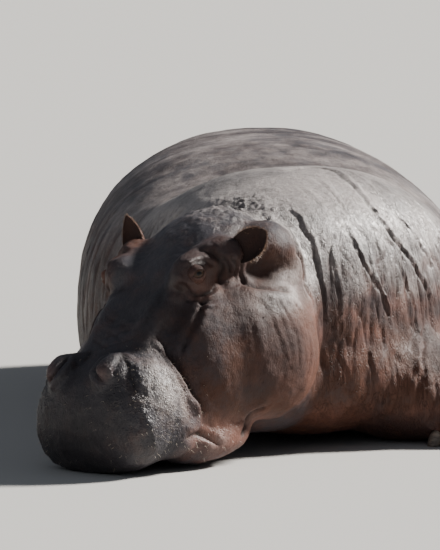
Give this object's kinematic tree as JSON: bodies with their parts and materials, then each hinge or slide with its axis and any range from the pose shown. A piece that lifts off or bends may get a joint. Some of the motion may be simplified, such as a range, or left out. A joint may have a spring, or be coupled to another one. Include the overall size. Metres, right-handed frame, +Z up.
{
  "type": "hippopotamus lying down",
  "caption": "Life-size hippopotamus lying on its belly, chin on the ground and head turned to its right, eyes open and mouth closed; a still model for display",
  "frame": {"origin": "middle of the bounding box, on the ground", "axes": "+Z up; -Y the way the trunk faces, so the rump is at +Y; +X the animal's left"},
  "size_m": [1.4006, 3.2146, 0.8077],
  "materials": {
    "skin": "thick bare hide, grey on the back and pink-brown on the cheeks and in the folds, finely cracked, dull with a faint sheen",
    "nails": "dark worn horn, smooth and slightly ribbed",
    "eyes": "wet dark brown eye"
  },
  "bodies": {
    "root": {"ear_left": "skin", "ear_right": "skin", "eye_left": "eyes", "eye_right": "eyes", "forefoot_left": "skin", "forefoot_right": "skin", "foreleg_left": "skin", "foreleg_right": "skin", "head": "skin", "hindfoot_left": "skin", "hindfoot_right": "skin", "hindleg_left": "skin", "hindleg_right": "skin", "lower_jaw": "skin", "nail_fore_left_1": "nails", "nail_fore_left_2": "nails", "nail_fore_left_3": "nails", "nail_fore_left_4": "nails", "nail_fore_right_1": "nails", "nail_fore_right_2": "nails", "nail_fore_right_3": "nails", "nail_fore_right_4": "nails", "nail_hind_left_1": "nails", "nail_hind_left_2": "nails", "nail_hind_left_3": "nails", "nail_hind_left_4": "nails", "nail_hind_right_1": "nails", "nail_hind_right_2": "nails", "nail_hind_right_3": "nails", "nail_hind_right_4": "nails", "neck": "skin", "tail": "skin", "trunk": "skin"}
  },
  "joints": []
}
